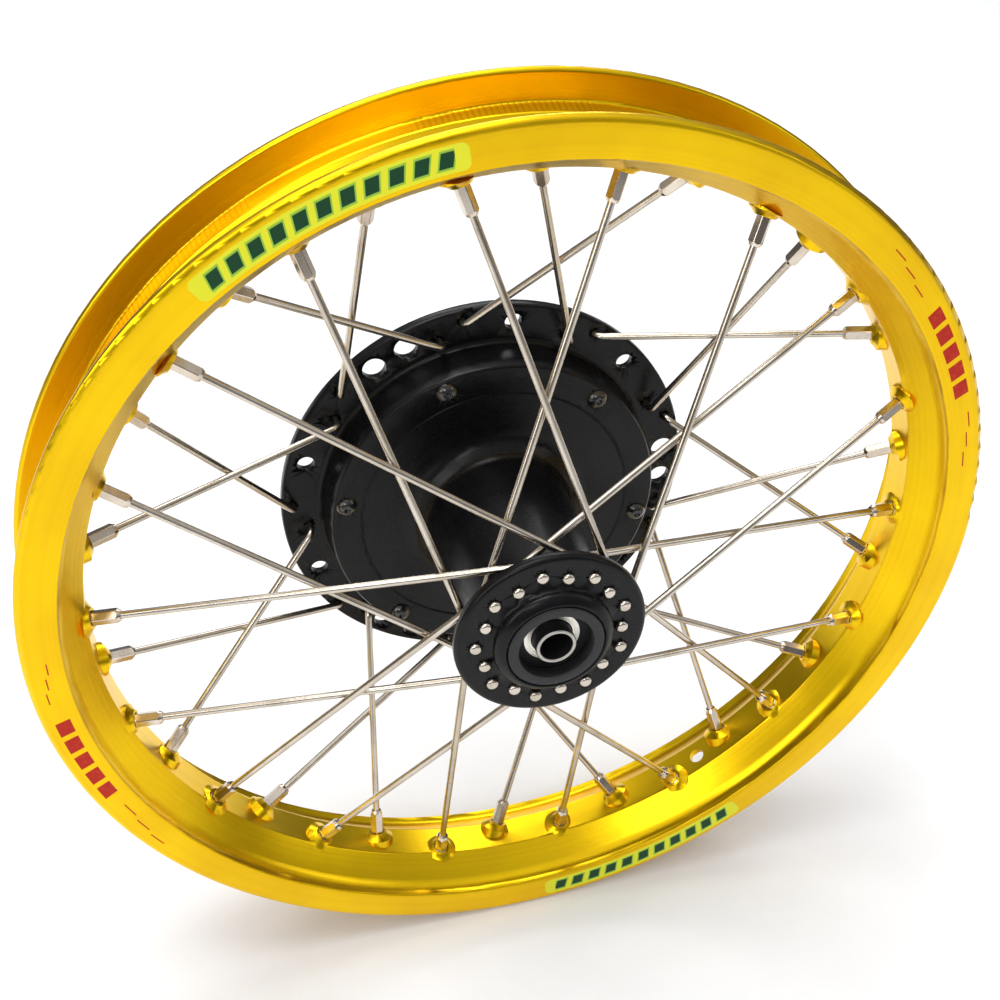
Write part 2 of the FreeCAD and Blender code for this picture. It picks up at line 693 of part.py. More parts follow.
def make_shield(name, outside, inward):
    """The rubber shield in a bearing's outer face."""
    inside = outside + inward * size("shieldThickness")
    return turned_body(name, [
        ("%r" % outside, "innerShoulder+0.15"),
        ("%r" % outside, "outerShoulder-0.04"),
        ("%r" % inside, "outerShoulder-0.04"),
        ("%r" % inside, "innerShoulder+0.15"),
    ])


def make_bearing(end, side):
    middle = side * size("bearingFace-bearingWidth/2")
    outside = side * size("bearingFace-0.3")
    return [
        make_inner_race(end + "_inner_race", middle),
        make_outer_race(end + "_outer_race", middle),
        make_balls(end + "_balls", middle),
        make_cage(end + "_ball_cage", middle),
        make_shield(end + "_bearing_shield", outside, -side),
    ]


def make_retaining_ring(name, side):
    """The grey ring screwed into a mouth of the hub over the bearing."""
    outer_end = side * (size("farMouthFace") + 0.5)
    inner_end = side * size("bearingFace")
    return turned_body(name, [
        ("%r" % outer_end, "ringInner+0.5"),
        ("%r" % outer_end, "ringOuter-0.6"),
        ("%r" % (outer_end - side * 0.6), "ringOuter"),
        ("%r" % inner_end, "ringOuter"),
        ("%r" % inner_end, "outerShoulder"),
        ("%r" % (inner_end + side * 2.0), "ringInner"),
        ("%r" % (outer_end - side * 0.5), "ringInner"),
    ])


def make_sleeve(name, side):
    """The sleeve that carries a bearing's inner race on the axle and stands out to the mouth."""
    outer_end = side * size("farMouthFace")
    race_end = side * size("bearingFace")
    inner_end = side * size("bearingFace-bearingWidth")
    return turned_body(name, [
        ("%r" % inner_end, "axleRadius"),
        ("%r" % inner_end, "bearingBore-0.02"),
        ("%r" % race_end, "bearingBore-0.02"),
        ("%r" % race_end, "sleeveEndRadius"),
        ("%r" % (outer_end - side * 0.5), "sleeveEndRadius"),
        ("%r" % outer_end, "sleeveEndRadius-0.5"),
        ("%r" % outer_end, "axleRadius+0.4"),
        ("%r" % (outer_end - side * 0.4), "axleRadius"),
    ])


def make_spacer_tube():
    end = "bearingFace-bearingWidth"
    return turned_body("spacer_tube", [
        ("-(%s)" % end, "axleRadius"),
        ("-(%s)" % end, "innerShoulder-0.7"),
        (end, "innerShoulder-0.7"),
        (end, "axleRadius"),
    ])


def make_carrier():
    """The plate that closes the drum and carries the disc: a spigot, a flange and six tapped posts."""
    back = "largeFace+largeThickness"
    carrier = turned_body("disc_carrier", [
        (back + "-3", "carrierBore"),
        (back + "-3", "drumRadius-drumWall-0.5"),
        (back, "drumRadius-drumWall-0.5"),
        (back, "carrierRadius"),
        (back + "+carrierThickness", "carrierRadius"),
        (back + "+carrierThickness", "carrierBore"),
    ])
    posts = new_sketch(carrier, "posts_sketch", "XZ_Plane", -size(back) + 1)
    across, up = polar(size("postCircle"), SCREW_ANGLE)
    posts.addGeometry(
        Part.Circle(FreeCAD.Vector(across, up, 0), FreeCAD.Vector(0, 0, 1), size("postRadius")), False)
    post = carrier.newObject("PartDesign::Pad", "posts")
    post.Profile = posts
    post.Length = size(back) - 1 - size("drumFace+webThickness")
    posts.Visibility = False
    doc.recompute()
    pattern = carrier.newObject("PartDesign::PolarPattern", "posts_pattern")
    pattern.Originals = [post]
    pattern.Axis = (origin_feature(carrier, "Y_Axis"), [""])
    pattern.Angle = 360
    pattern.Occurrences = SCREW_COUNT
    carrier.Tip = pattern
    doc.recompute()
    hole_ring(carrier, "tapped_holes", size("drumFace+webThickness") - 1, size("tappedDepth"),
              size("screwCircle"), SCREW_ANGLE, size("screwRadius") + 0.05, SCREW_COUNT)
    hole_ring(carrier, "disc_bolt_holes", size(back) - 4, size("carrierThickness") + 6,
              size("discBoltCircle"), SCREW_ANGLE - 30, size("discBoltRadius"), DISC_BOLT_COUNT)
    return carrier


def make_screws():
    """Six button-head screws from the drum face into the carrier's posts."""
    head_radius = size("screwHeadRadius")
    height = size("screwHeadHeight")
    centre = FreeCAD.Vector(0, size("drumFace"), 0)
    ball_radius = (head_radius ** 2 + height ** 2) / (2 * height)
    ball = Part.makeSphere(ball_radius, centre + Y_AXIS * (ball_radius - height))
    head = ball.common(Part.makeCylinder(head_radius, height + 1, centre - Y_AXIS * (height + 1), Y_AXIS))
    shank = Part.makeCylinder(size("screwRadius"), size("screwLength"), centre - Y_AXIS * 0.5, Y_AXIS)
    corners = [FreeCAD.Vector(*polar(size("socketRadius"), 60 * index), 0) for index in range(7)]
    socket = Part.Face(Part.makePolygon(corners)).extrude(FreeCAD.Vector(0, 0, size("socketDepth")))
    socket.Placement = FreeCAD.Placement(
        centre - Y_AXIS * (height + 0.1), FreeCAD.Rotation(FreeCAD.Vector(0, 0, 1), Y_AXIS))
    screw = head.fuse(shank).cut(socket).removeSplitter()
    across, up = polar(size("screwCircle"), SCREW_ANGLE)
    screw.translate(FreeCAD.Vector(across, 0, up))
    return ring_group("button_head_screws", screw, SCREW_COUNT)


def make_spokes(lines):
    spokes = []
    for flange, families in (("small", ("small_a", "small_b")), ("large", ("large_a", "large_b"))):
        for index in range(FAMILY_COUNT):
            for place, name in enumerate(families):
                label = "%s_flange_spoke_%02d" % (flange, 2 * index + place + 1)
                spokes.append(spoke_body(label, lines[name], 40.0 * index))
    return spokes


def check_and_export(parts):
    doc.recompute()
    for item in doc.Objects:
        if "Invalid" in item.State or "Error" in item.State:
            raise RuntimeError("%s failed: %s" % (item.Name, item.State))
    for part in parts:
        shape = part.Shape
        if shape.isNull() or not shape.isValid():
            raise RuntimeError(part.Label + " is not a valid shape")
        print("%-26s solids %2d  volume %10.1f mm3" % (part.Label, len(shape.Solids), shape.Volume))
        shape.exportStep("parts/%s.step" % part.Label)
    print(len(parts), "parts")


def main():
    make_sheet()
    lines = {name: spoke_line(family) for name, family in FAMILIES.items()}
    parts = [make_rim(lines), make_hub(lines)]
    parts.append(make_nipples("small_row_nipples", make_nipple("small_a", lines["small_a"]),
                              make_nipple("small_b", lines["small_b"])))
    parts.append(make_nipples("large_row_nipples", make_nipple("large_a", lines["large_a"]),
                              make_nipple("large_b", lines["large_b"])))
    parts += make_spokes(lines)
    parts += make_bearing("small_end", -1)
    parts += make_bearing("large_end", 1)
    parts.append(make_retaining_ring("small_end_ring", -1))
    parts.append(make_retaining_ring("large_end_ring", 1))
    parts.append(make_sleeve("small_end_sleeve", -1))
    parts.append(make_sleeve("large_end_sleeve", 1))
    parts.append(make_spacer_tube())
    parts.append(make_carrier())
    parts.append(make_screws())
    check_and_export(parts)


main()
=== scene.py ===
import json
import math

import bpy
from mathutils import Matrix, Vector


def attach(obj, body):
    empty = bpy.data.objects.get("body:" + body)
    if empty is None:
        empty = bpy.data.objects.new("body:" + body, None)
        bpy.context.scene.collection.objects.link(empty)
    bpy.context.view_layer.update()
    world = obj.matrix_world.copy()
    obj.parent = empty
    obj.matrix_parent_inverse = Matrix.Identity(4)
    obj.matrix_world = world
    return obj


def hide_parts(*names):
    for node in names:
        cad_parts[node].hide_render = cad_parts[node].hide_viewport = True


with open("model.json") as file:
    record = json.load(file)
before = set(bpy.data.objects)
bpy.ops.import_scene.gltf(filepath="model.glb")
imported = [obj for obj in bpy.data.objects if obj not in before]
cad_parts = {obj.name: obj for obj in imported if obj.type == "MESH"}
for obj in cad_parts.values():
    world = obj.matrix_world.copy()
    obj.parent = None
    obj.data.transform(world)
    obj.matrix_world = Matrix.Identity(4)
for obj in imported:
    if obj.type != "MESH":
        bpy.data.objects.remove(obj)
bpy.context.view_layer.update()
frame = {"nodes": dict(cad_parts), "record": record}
print("frame loaded:", len(frame["nodes"]), "nodes")


view = {
    "place": (-0.1479, -0.5250, 0.4375),
    "forward": (0.2069, 0.7759, -0.5960),
    "lens": 51.53,
}


def makeCamera():
    forward = Vector(view["forward"]).normalized()
    right = forward.cross(Vector((0, 0, 1))).normalized()
    up = right.cross(forward)
    data = bpy.data.cameras.new("viewCamera")
    data.lens = view["lens"]
    data.sensor_width = 36
    data.clip_start = 0.01
    camera = bpy.data.objects.new("viewCamera", data)
    turn = Matrix((right, up, -forward)).transposed()
    camera.matrix_world = Matrix.Translation(view["place"]) @ turn.to_4x4()
    bpy.context.collection.objects.link(camera)
    bpy.context.scene.camera = camera


makeCamera()
bpy.context.scene.view_settings.view_transform = "Standard"
print("camera set")


def deselectAll():
    bpy.ops.object.select_all(action="DESELECT")


# edit mode on one object, with only the faces selected that pass a test on their middle
def editFaces(piece, test=None):
    deselectAll()
    piece.select_set(True)
    bpy.context.view_layer.objects.active = piece
    bpy.ops.object.mode_set(mode="OBJECT")
    for part in (piece.data.vertices, piece.data.edges, piece.data.polygons):
        part.foreach_set("select", [False] * len(part))
    for face in piece.data.polygons:
        chosen = test is None or test(face.center)
        face.select = chosen
        if chosen:
            for index in face.vertices:
                piece.data.vertices[index].select = True
    bpy.ops.object.mode_set(mode="EDIT")
    bpy.ops.mesh.select_mode(type="FACE")


# a number that travels along a node link
class Value:
    def __init__(self, finish, socket):
        self.finish = finish
        self.socket = socket

    def maths(self, operation, *others):
        inputs = dict(enumerate((self,) + others))
        node = self.finish.node("Math", {"operation": operation}, inputs)
        return Value(self.finish, node.outputs[0])

    def __add__(self, other): return self.maths("ADD", other)
    def __radd__(self, other): return self.maths("ADD", other)
    def __sub__(self, other): return self.maths("SUBTRACT", other)
    def __mul__(self, other): return self.maths("MULTIPLY", other)
    def __rmul__(self, other): return self.maths("MULTIPLY", other)

    def __rsub__(self, other):
        inputs = {0: other, 1: self}
        node = self.finish.node("Math", {"operation": "SUBTRACT"}, inputs)
        return Value(self.finish, node.outputs[0])

    # 0 below low, 1 above high, soft between them
    def rise(self, low, high):
        settings = {"interpolation_type": "SMOOTHSTEP"}
        node = self.finish.node("MapRange", settings, {"Value": self, "From Min": low, "From Max": high})
        return Value(self.finish, node.outputs[0])

    # 1 between low and high, 0 outside
    def between(self, low, high, soft):
        return self.rise(low - soft, low + soft) * (1 - self.rise(high - soft, high + soft))


# one material, its nodes and its shader
class Finish:
    def __init__(self, name, fixed):
        self.material = bpy.data.materials.new(name)
        self.material.use_nodes = True
        self.tree = self.material.node_tree
        self.tree.nodes.clear()
        self.shader = self.node("BsdfPrincipled", {}, fixed)
        output = self.node("OutputMaterial", {}, {})
        self.tree.links.new(self.shader.outputs[0], output.inputs[0])
        self.findPlaces()

    def node(self, kind, settings, inputs):
        node = self.tree.nodes.new("ShaderNode" + kind)
        for key, setting in settings.items():
            setattr(node, key, setting)
        for key, value in inputs.items():
            self.feed(node.inputs[key], value)
        return node

    def feed(self, socket, value):
        if isinstance(value, Value):
            self.tree.links.new(value.socket, socket)
        elif isinstance(value, bpy.types.NodeSocket):
            self.tree.links.new(value, socket)
        elif isinstance(value, tuple) and len(value) == 3 and socket.type == "RGBA":
            socket.default_value = value + (1.0,)
        else:
            socket.default_value = value

    # where a point is on the wheel: its place, its distance from the axle line and its angle round it
    def findPlaces(self):
        self.where = self.node("TexCoord", {}, {}).outputs["Object"]
        parts = self.node("SeparateXYZ", {}, {0: self.where})
        x, self.y, z = (Value(self, parts.outputs[i]) for i in range(3))
        self.radius = (x * x + z * z).maths("SQRT")
        self.angle = z.maths("ARCTAN2", x)

    def noise(self, scale, detail=2.0, rough=0.5, where=None):
        inputs = {"Vector": where or self.where, "Scale": scale, "Detail": detail, "Roughness": rough}
        return Value(self, self.node("TexNoise", {}, inputs).outputs[0])

    # fine lines that run round the axle line, as a lathe leaves them
    def turningLines(self, scale):
        flat = self.node("CombineXYZ", {}, {0: self.radius, 1: self.y, 2: 0.0})
        return self.noise(scale, 3.0, 0.6, flat.outputs[0])

    def mix(self, amount, first, second):
        settings = {"data_type": "RGBA", "blend_type": "MIX"}
        node = self.node("Mix", settings, {0: amount, 6: first, 7: second})
        return node.outputs[2]

    def bump(self, height, strength, distance):
        node = self.node("Bump", {}, {"Strength": strength, "Distance": distance, "Height": height})
        return node.outputs[0]

    def set(self, **inputs):
        for key, value in inputs.items():
            self.feed(self.shader.inputs[key.replace("_", " ")], value)
        return self.material


goldValues = {
    "light": (0.95, 0.615, 0.004),
    "deep": (0.78, 0.455, 0.005),
    "faceY": 0.0288,
    "faceRough": 0.36,
    "wellRough": 0.24,
    "knurlLow": 0.0165,
    "knurlHigh": 0.0232,
    "knurlTicks": 520.0,
    "knurlPatches": 9.0,
    "seatInner": (0.2160, 0.2166),      # the bead seat's pressed ring fades in and out between these radii
    "seatOuter": (0.2192, 0.2196),
    "lineScale": 2400.0,
    "wideScale": 420.0,
}


def goldAnodised():
    v = goldValues
    finish = Finish("goldAnodised", {"Metallic": 1.0, "Coat Weight": 0.1, "Coat Roughness": 0.2})
    cloud = finish.noise(22.0, 3.0)
    lines = finish.turningLines(v["lineScale"])
    wide = finish.turningLines(v["wideScale"])
    side = finish.y.maths("ABSOLUTE")
    onFace = side.rise(v["faceY"] - 0.0002, v["faceY"])
    seat = side.between(v["knurlLow"], v["knurlHigh"], 0.0002)
    seat = seat * finish.radius.rise(*v["seatInner"]) * (1 - finish.radius.rise(*v["seatOuter"]))
    tick = (finish.angle * v["knurlTicks"]).maths("SINE").rise(0.0, 0.8)
    patch = (finish.angle * v["knurlPatches"]).maths("SINE").rise(-0.2, 0.1)
    knurl = seat * tick * patch
    tone = (cloud.rise(0.30, 0.72) * 0.5 + wide.rise(0.3, 0.75) * 0.3 + knurl * 0.8).maths("MINIMUM", 1.0)
    colour = finish.mix(tone, v["light"], v["deep"])
    scuff = finish.noise(160.0, 4.0, 0.7).rise(0.60, 0.85)
    rough = onFace * (v["faceRough"] - v["wellRough"]) + v["wellRough"] + lines * 0.10 + scuff * 0.05
    height = lines * 0.6 + wide * 0.5 - knurl * 1.5 + finish.noise(900.0, 2.0) * 0.15
    return finish.set(Base_Color=colour, Roughness=rough, Normal=finish.bump(height, 0.22, 0.0002))


blackValues = {
    "colour": (0.0035, 0.0035, 0.0042),
    "rubbed": (0.014, 0.0135, 0.013),
    "rough": 0.27,
}


def blackAnodised():
    v = blackValues
    finish = Finish("blackAnodised", {"Metallic": 0.0, "Specular IOR Level": 0.21})
    lines = finish.turningLines(1500.0)
    wide = finish.turningLines(260.0)
    mottle = finish.noise(55.0, 4.0, 0.6)
    dust = finish.noise(700.0, 2.0).rise(0.68, 0.80) * finish.noise(30.0, 2.0).rise(0.45, 0.7)
    tone = (mottle.rise(0.45, 0.8) * 0.35 + dust * 0.5).maths("MINIMUM", 1.0)
    colour = finish.mix(tone, v["colour"], v["rubbed"])
    rough = lines * 0.10 + mottle * 0.12 + v["rough"] - 0.10
    height = lines * 0.7 + wide * 0.4
    return finish.set(Base_Color=colour, Roughness=rough, Normal=finish.bump(height, 0.16, 0.0002))


def brightMetal(name, light, dark, rough, spread, grain, bumpStrength):
    finish = Finish(name, {"Metallic": 1.0})
    cloud = finish.noise(45.0, 3.0)
    fine = finish.noise(grain, 3.0, 0.65)
    tarnish = finish.noise(130.0, 4.0, 0.7).rise(0.52, 0.78)
    tone = (cloud.rise(0.35, 0.75) * 0.6 + tarnish * 0.4).maths("MINIMUM", 1.0)
    colour = finish.mix(tone, light, dark)
    roughness = fine * spread + tarnish * spread + rough
    return finish.set(Base_Color=colour, Roughness=roughness,
                      Normal=finish.bump(fine, bumpStrength, 0.0001))


def turnedSteel(name, light, dark, rough):
    finish = Finish(name, {"Metallic": 1.0})
    lines = finish.turningLines(5200.0)
    wide = finish.turningLines(900.0)
    tone = wide.rise(0.3, 0.75) * 0.7 + finish.noise(90.0).rise(0.5, 0.8) * 0.3
    colour = finish.mix(tone, light, dark)
    return finish.set(Base_Color=colour, Roughness=lines * 0.14 + rough,
                      Normal=finish.bump(lines + wide * 0.5, 0.35, 0.0002))


wornEnd = {
    "edge": (0.0690, 0.0692),      # a sleeve's turned end is bare beyond this distance from the middle
    "bare": (0.60, 0.57, 0.52),
}


def mattBlack(name, dark, light, rough, grain, brightEnd=0.0):
    finish = Finish(name, {"Specular IOR Level": 0.35})
    speck = finish.noise(grain, 3.0, 0.6)
    rings = finish.turningLines(1100.0)
    tone = speck.rise(0.4, 0.75) * 0.6 + rings.rise(0.4, 0.7) * 0.4
    colour = finish.mix(tone, dark, light)
    worn = finish.y.maths("ABSOLUTE").rise(*wornEnd["edge"]) * brightEnd
    colour = finish.mix(worn, colour, wornEnd["bare"])
    return finish.set(Base_Color=colour, Roughness=speck * 0.12 + rough, Metallic=worn,
                      Normal=finish.bump(speck + rings * 0.6, 0.25, 0.0002))


def glossBlack():
    finish = Finish("glossBlack", {"Metallic": 0.0, "Coat Weight": 0.6, "Coat Roughness": 0.08})
    speck = finish.noise(300.0, 3.0)
    colour = finish.mix(speck.rise(0.4, 0.8), (0.006, 0.006, 0.007), (0.02, 0.02, 0.021))
    return finish.set(Base_Color=colour, Roughness=speck * 0.10 + 0.16,
                      Normal=finish.bump(speck, 0.06, 0.0001))


finishes = {
    "gold_anodised": goldAnodised(),
    "black_anodised": blackAnodised(),
    "spoke_steel": brightMetal("spokeSteel", (0.66, 0.60, 0.52), (0.40, 0.34, 0.26),
                               0.19, 0.08, 900.0, 0.10),
    "nickel_plate": brightMetal("nickelPlate", (0.74, 0.66, 0.56), (0.42, 0.31, 0.20),
                                0.13, 0.10, 1400.0, 0.08),
    "black_screw": glossBlack(),
    "grey_ring": mattBlack("greyRing", (0.010, 0.010, 0.011), (0.030, 0.030, 0.032), 0.36, 800.0),
    "black_sleeve": mattBlack("blackSleeve", (0.006, 0.006, 0.007), (0.018, 0.018, 0.019), 0.30, 900.0, 0.8),
    "bearing_steel": turnedSteel("bearingSteel", (0.86, 0.83, 0.76), (0.56, 0.52, 0.44), 0.20),
    "cage_steel": brightMetal("cageSteel", (0.55, 0.54, 0.52), (0.36, 0.35, 0.33),
                              0.30, 0.12, 700.0, 0.12),
    "black_rubber": mattBlack("blackRubber", (0.008, 0.008, 0.008), (0.022, 0.022, 0.022), 0.55, 1600.0),
}


nodeSlots = {entry["node"]: entry["material_slot"] for entry in frame["record"]["subparts"]}
nodeBodies = {node: body for body, nodes in frame["record"]["behaviour"]["bodies"].items() for node in nodes}


def paintNodes():
    for name, node in frame["nodes"].items():
        finish = finishes[nodeSlots[name]]
        for slot in node.material_slots:
            slot.material = finish


paintNodes()
print("finishes made:", len(finishes))


skinValues = {
    "angle": 72.0,      # edges sharper than this stay crisp
    "lean": 0.16,       # a normal that leans less than this along the turning is facet error
    "bossAngle": 19.0,  # the same among the bosses, which lie inside the next two limits
    "bossY": 0.0155,
    "bossRadius": 0.2075,
    "turned": ["rim", "hub_body", "small_end_ring", "small_end_sleeve",
               "large_end_ring", "large_end_sleeve"],
    "nodes": ["rim", "hub_body", "small_end_ring", "small_end_sleeve", "large_end_ring",
              "large_end_sleeve", "button_head_screws"],
    "groups": ["small_flange_spoke", "large_flange_spoke"],
}


# keeps the foot of each raised boss crisp where it meets the rim's flat bed
def creaseBosses(skin):
    v = skinValues
    editFaces(skin, lambda place: abs(place.y) < v["bossY"] and place.xz.length < v["bossRadius"])
    bpy.ops.mesh.hide(unselected=True)
    bpy.ops.mesh.select_mode(type="EDGE")
    bpy.ops.mesh.select_all(action="DESELECT")
    bpy.ops.mesh.edges_select_sharp(sharpness=math.radians(v["bossAngle"]))
    bpy.ops.mesh.mark_sharp()
    bpy.ops.mesh.reveal(select=False)
    bpy.ops.object.mode_set(mode="OBJECT")


# stands the normals of a turned shape square to its turning, so that the light runs evenly round it
def evenNormals(skin):
    mesh = skin.data
    normals = []
    for loop, corner in zip(mesh.loops, mesh.corner_normals):
        place = mesh.vertices[loop.vertex_index].co
        along = Vector((-place.z, 0, place.x)).normalized()
        normal = corner.vector.copy()
        lean = normal.dot(along)
        if abs(lean) < skinValues["lean"]:
            normal -= along * lean
        normals.append(normal.normalized())
    mesh.normals_split_custom_set(normals)


# a smooth-shaded copy of a CAD node, for round shapes whose facets would show in the gloss
def makeSkin(name):
    deselectAll()
    node = frame["nodes"][name]
    node.select_set(True)
    bpy.context.view_layer.objects.active = node
    bpy.ops.object.duplicate()
    skin = bpy.context.object
    skin.name = name + "_skin"
    editFaces(skin)
    bpy.ops.mesh.remove_doubles(threshold=0.000001)
    bpy.ops.object.mode_set(mode="OBJECT")
    bpy.ops.object.shade_smooth_by_angle(angle=math.radians(skinValues["angle"]))
    if name == "rim":
        creaseBosses(skin)
    bpy.ops.object.modifier_add(type="WEIGHTED_NORMAL")
    even = skin.modifiers[-1]
    even.keep_sharp = True
    bpy.ops.object.modifier_apply(modifier=even.name)
    if name in skinValues["turned"]:
        evenNormals(skin)
    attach(skin, nodeBodies[name])
    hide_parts(name)


def makeSkins():
    v = skinValues
    for name in frame["nodes"]:
        if name in v["nodes"] or any(name.startswith(group) for group in v["groups"]):
            makeSkin(name)


makeSkins()
print("smooth copies made")


def direction(degrees):
    turn = math.radians(degrees)
    return Vector((math.cos(turn), 0, math.sin(turn)))


def angleOf(place):
    return math.degrees(math.atan2(place.z, place.x)) % 360


plateValues = {
    "faceY": -0.02905,      # the flat outside of the rim's near sidewall
    "thick": 0.00014,
    "steps": 540,
    "cornerCuts": 4,
}


# a thin curved plate on the rim's flat side, from one angle to another, with round corners and leaning ends
def makePlate(name, start, end, inner, outer, corner, lean=0.0):
    v = plateValues
    deselectAll()
    bpy.ops.mesh.primitive_circle_add(vertices=v["steps"], radius=outer, fill_type="NOTHING",
                                      location=(0, v["faceY"], 0), rotation=(math.pi / 2, 0, 0))
    plate = bpy.context.object
    plate.name = name
    bpy.ops.object.transform_apply(location=True, rotation=True, scale=True)
    bpy.ops.object.mode_set(mode="EDIT")
    bpy.ops.mesh.select_all(action="SELECT")
    bpy.ops.mesh.extrude_edges_move()
    shrink = inner / outer
    bpy.ops.transform.resize(value=(shrink, 1, shrink), center_override=(0, v["faceY"], 0))
    middle = (inner + outer) / 2
    for angle, side in ((start, 1), (end, -1)):
        bpy.ops.mesh.select_all(action="SELECT")
        across = direction(angle + 90 + lean) * side
        bpy.ops.mesh.bisect(plane_co=direction(angle) * middle, plane_no=across, clear_inner=True)
    bpy.ops.object.mode_set(mode="OBJECT")
    if corner:
        roundCorners(plate, start, end, inner, outer, corner)
    bpy.ops.object.modifier_add(type="SOLIDIFY")
    solid = plate.modifiers[-1]
    solid.thickness = v["thick"]
    solid.offset = 0
    bpy.ops.object.modifier_apply(modifier=solid.name)
    editFaces(plate)
    bpy.ops.mesh.remove_doubles(threshold=0.000002)
    bpy.ops.mesh.normals_make_consistent(inside=False)
    bpy.ops.object.mode_set(mode="OBJECT")
    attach(plate, "wheel")
    return plate


# slices round the four corners of a plate, each slice touching the corner's circle
def roundCorners(plate, start, end, inner, outer, corner):
    swing = math.degrees(corner / outer)
    reach = swing * 1.6      # a little past the corner's own circle
    for angle, side in ((start, 1), (end, -1)):
        for radius, outward in ((outer - corner, 1), (inner + corner, -1)):
            heart = direction(angle + side * swing) * radius
            for cut in range(1, plateValues["cornerCuts"] + 1):
                part = 90.0 * cut / (plateValues["cornerCuts"] + 1)
                radial = direction(angle) * outward
                along = direction(angle - 90 * side)
                facing = radial * math.cos(math.radians(part)) + along * math.sin(math.radians(part))
                editFaces(plate, lambda place: abs(angleOf(place) - angle) < reach)
                bpy.ops.mesh.bisect(plane_co=heart + facing * corner, plane_no=-facing, clear_inner=True)
                bpy.ops.object.mode_set(mode="OBJECT")


labelValues = {
    "inner": 0.2166,
    "outer": 0.2281,
    "corner": 0.0036,
    "places": {"labelUpper": (97.0, 127.6), "labelLower": (272.8, 303.6)},
    "paper": (0.86, 0.84, 0.025),
    "edge": (0.30, 0.56, 0.05),
    "ink": (0.003, 0.050, 0.014),
    "bars": 11,
    "margin": 0.04,             # blank at each end, as a share of the label's length
    "barLean": 0.35,
    "bar": (0.16, 0.74),        # where a dark bar starts and ends in its step, then the same with its edge
    "barEdge": (0.09, 0.81),
    "barHeight": (0.22, 0.78),
    "edgeHeight": (0.14, 0.86),
}


# lime label with plain leaning bars: dark green with a lighter green edge
def labelFinish(start, end):
    v = labelValues
    finish = Finish("limeLabel", {"Metallic": 0.0, "Specular IOR Level": 0.22})
    turn = math.radians(start if start < 180 else start - 360)
    along = (finish.angle - turn) * (1 / math.radians(end - start))
    up = (finish.radius - v["inner"]) * (1 / (v["outer"] - v["inner"]))
    step = (along - v["margin"]) * (v["bars"] / (1 - 2 * v["margin"])) + (up - 0.5) * v["barLean"]
    part = step.maths("FRACT")
    inside = along.between(v["margin"] + 0.01, 0.99 - v["margin"], 0.002)
    ink = part.between(*v["bar"], 0.015) * up.between(*v["barHeight"], 0.02) * inside
    rim = part.between(*v["barEdge"], 0.02) * up.between(*v["edgeHeight"], 0.02) * inside
    cloud = finish.noise(60.0, 3.0)
    paper = finish.mix(cloud * 0.25, v["paper"], (0.62, 0.66, 0.03))
    edged = finish.mix(rim, paper, v["edge"])
    inked = finish.mix(ink, edged, v["ink"])
    film = finish.noise(500.0, 3.0, 0.6)
    return finish.set(Base_Color=inked, Roughness=film * 0.16 + 0.24 + ink * 0.08,
                      Normal=finish.bump(film + ink * 0.4, 0.08, 0.0001))


markValues = {
    "inner": 0.2190,
    "outer": 0.2262,
    "lean": 12.0,
    "blocks": 5,
    "blockWidth": 2.15,
    "blockStep": 2.95,
    "thinRadius": 0.2228,
    "thinHeight": 0.0006,
    "thinLength": 0.27,                 # share of its line that each thin dash takes
    "thinShares": (0.0, 0.36, 0.72),    # where each dash starts along its line
    "thinStep": 0.0016,
    "groups": {"marksRight": (19.6, (8.4, 16.8), (36.4, 44.4)),
               "marksLeft": (187.6, (178.4, 184.6), (204.0, 213.2))},
    "ink": (0.50, 0.014, 0.003),
    "worn": (0.64, 0.07, 0.006),
}


def markFinish():
    v = markValues
    finish = Finish("redInk", {"Metallic": 0.0, "Specular IOR Level": 0.2})
    wear = finish.noise(420.0, 4.0, 0.7)
    colour = finish.mix(wear.rise(0.48, 0.75) * 0.8, v["ink"], v["worn"])
    return finish.set(Base_Color=colour, Roughness=wear * 0.2 + 0.30, Normal=finish.bump(wear, 0.1, 0.0001))


def makeLabels():
    v = labelValues
    for name, (start, end) in v["places"].items():
        plate = makePlate(name, start, end, v["inner"], v["outer"], v["corner"])
        plate.data.materials.append(labelFinish(start, end))


def makeMarks():
    v = markValues
    ink = markFinish()
    for name, (first, *lines) in v["groups"].items():
        pieces = []
        for index in range(v["blocks"]):
            start = first + v["blockStep"] * index
            end = start + v["blockWidth"]
            pieces.append(makePlate(name, start, end, v["inner"], v["outer"], 0, v["lean"]))
        for low, high in lines:
            for index, share in enumerate(v["thinShares"]):
                start = low + (high - low) * share
                end = start + (high - low) * v["thinLength"]
                radius = v["thinRadius"] + (index - 1) * v["thinStep"]
                pieces.append(makePlate(name, start, end, radius, radius + v["thinHeight"], 0, v["lean"]))
        deselectAll()
        for piece in pieces:
            piece.select_set(True)
        bpy.context.view_layer.objects.active = pieces[0]
        bpy.ops.object.join()
        pieces[0].name = name
        pieces[0].data.materials.append(ink)


makeLabels()
makeMarks()
print("labels and marks made")


stageValues = {
    "floorZ": -0.2325,
    "floorSize": 14.0,
    "floorTints": ((0.88, 0.88, 0.88), (0.92, 0.92, 0.92)),
    "sky": [(0.0, (0.10, 0.10, 0.105)), (1.0, (0.95, 0.97, 1.0)),
            (0.25, (0.16, 0.16, 0.165)), (0.6, (0.42, 0.43, 0.45))],
    "skyStrength": 1.0,
    "backdrop": (0.86, 0.86, 0.87),
}


def makeStage():
    v = stageValues
    deselectAll()
    bpy.ops.mesh.primitive_plane_add(size=v["floorSize"], location=(0, 0, v["floorZ"]))
    floor = bpy.context.object
    floor.name = "floor"
    paper = Finish("paleFloor", {"Roughness": 0.7, "Specular IOR Level": 0.2})
    tint = paper.mix(paper.noise(40.0, 3.0), *v["floorTints"])
    floor.data.materials.append(paper.set(Base_Color=tint))
    makeSky()


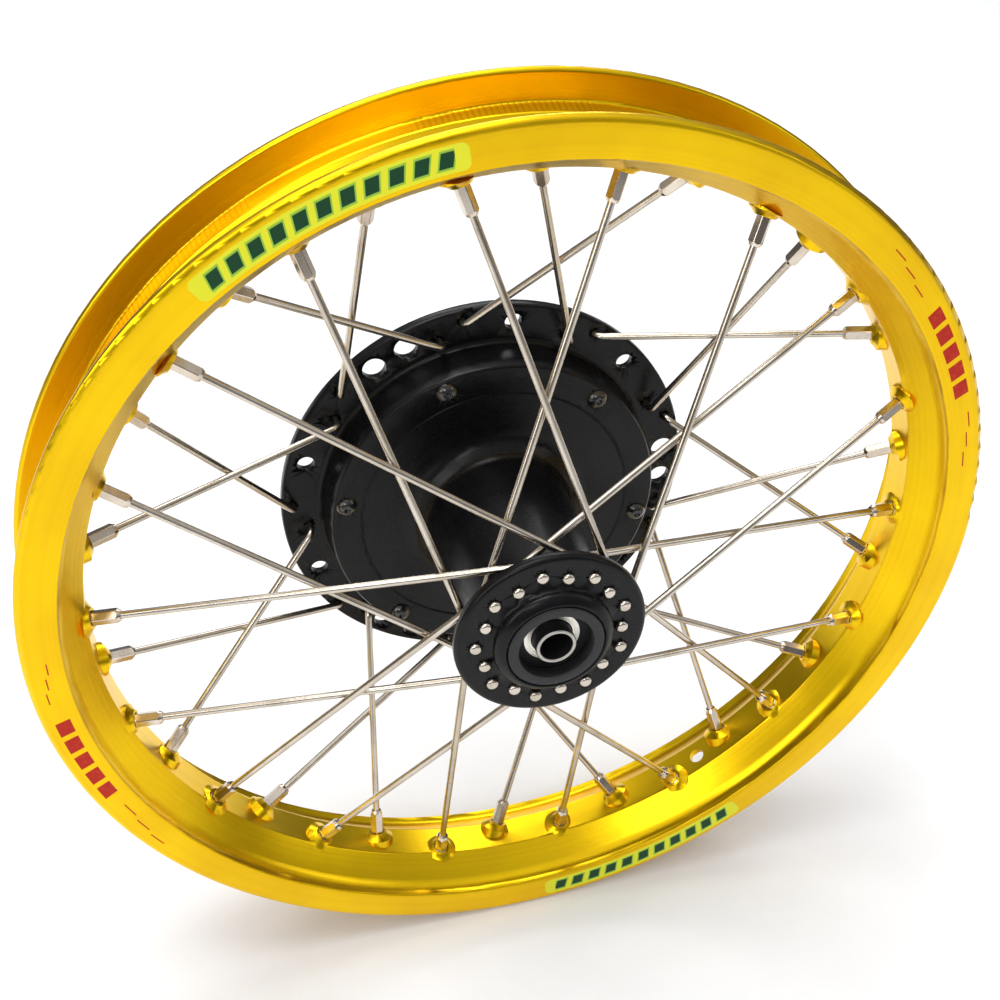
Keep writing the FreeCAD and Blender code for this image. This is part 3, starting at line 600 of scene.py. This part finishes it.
# brighter overhead than at the horizon, so the metal has light and dark to reflect
def makeSky():
    v = stageValues
    world = bpy.context.scene.world or bpy.data.worlds.new("sky")
    bpy.context.scene.world = world
    world.use_nodes = True
    nodes, links = world.node_tree.nodes, world.node_tree.links
    height = nodes.new("ShaderNodeSeparateXYZ")
    links.new(nodes.new("ShaderNodeTexCoord").outputs["Generated"], height.inputs[0])
    ramp = nodes.new("ShaderNodeValToRGB")
    ramp.color_ramp.interpolation = "EASE"
    for index, (place, tint) in enumerate(v["sky"]):
        stop = ramp.color_ramp.elements[index] if index < 2 else ramp.color_ramp.elements.new(place)
        stop.position = place
        stop.color = tint + (1.0,)
    links.new(height.outputs[2], ramp.inputs[0])
    seen = nodes.new("ShaderNodeMix")      # the metal reflects the ramp, and the eye sees a pale backdrop
    seen.data_type = "RGBA"
    seen.inputs[7].default_value = v["backdrop"] + (1.0,)
    links.new(nodes.new("ShaderNodeLightPath").outputs["Is Camera Ray"], seen.inputs[0])
    links.new(ramp.outputs[0], seen.inputs[6])
    links.new(seen.outputs[2], nodes["Background"].inputs[0])
    nodes["Background"].inputs[1].default_value = v["skyStrength"]


lampValues = {
    "overhead": {"place": (-0.3, 0.1, 1.9), "aim": (0, 0, 0), "size": (1.3, 0.9), "power": 17.0},
    "leftSide": {"place": (-1.6, -0.9, 0.9), "aim": (0, 0, 0), "size": (0.7, 1.2), "power": 9.0},
    "rightSide": {"place": (1.5, -0.7, 0.8), "aim": (0, 0, 0), "size": (0.4, 0.9), "power": 2.0},
    "front": {"place": (-0.75, -1.5, 1.25), "aim": (0, 0, 0), "size": (0.8, 0.45), "power": 6.0},
    "back": {"place": (0.4, 1.9, 1.5), "aim": (0, 0.6, -0.2), "size": (1.6, 0.5), "power": 12.0},
}


def makeLamps():
    for name, v in lampValues.items():
        data = bpy.data.lights.new(name, "AREA")
        data.shape = "RECTANGLE"
        data.size, data.size_y = v["size"]
        data.energy = v["power"]
        lamp = bpy.data.objects.new(name, data)
        aim = Vector(v["aim"]) - Vector(v["place"])
        lamp.rotation_euler = aim.to_track_quat("-Z", "Y").to_euler()
        lamp.location = v["place"]
        bpy.context.collection.objects.link(lamp)


washValues = {
    "strength": 0.55,
    "spread": 50.0,
    "tilt": (-12.0, -10.0),
}


# an even soft wash over the whole floor
def makeWash():
    v = washValues
    data = bpy.data.lights.new("wash", "SUN")
    data.energy = v["strength"]
    data.angle = math.radians(v["spread"])
    wash = bpy.data.objects.new("wash", data)
    wash.rotation_euler = (math.radians(v["tilt"][0]), math.radians(v["tilt"][1]), 0)
    bpy.context.collection.objects.link(wash)


makeStage()
makeLamps()
makeWash()
print("stage and lamps set")
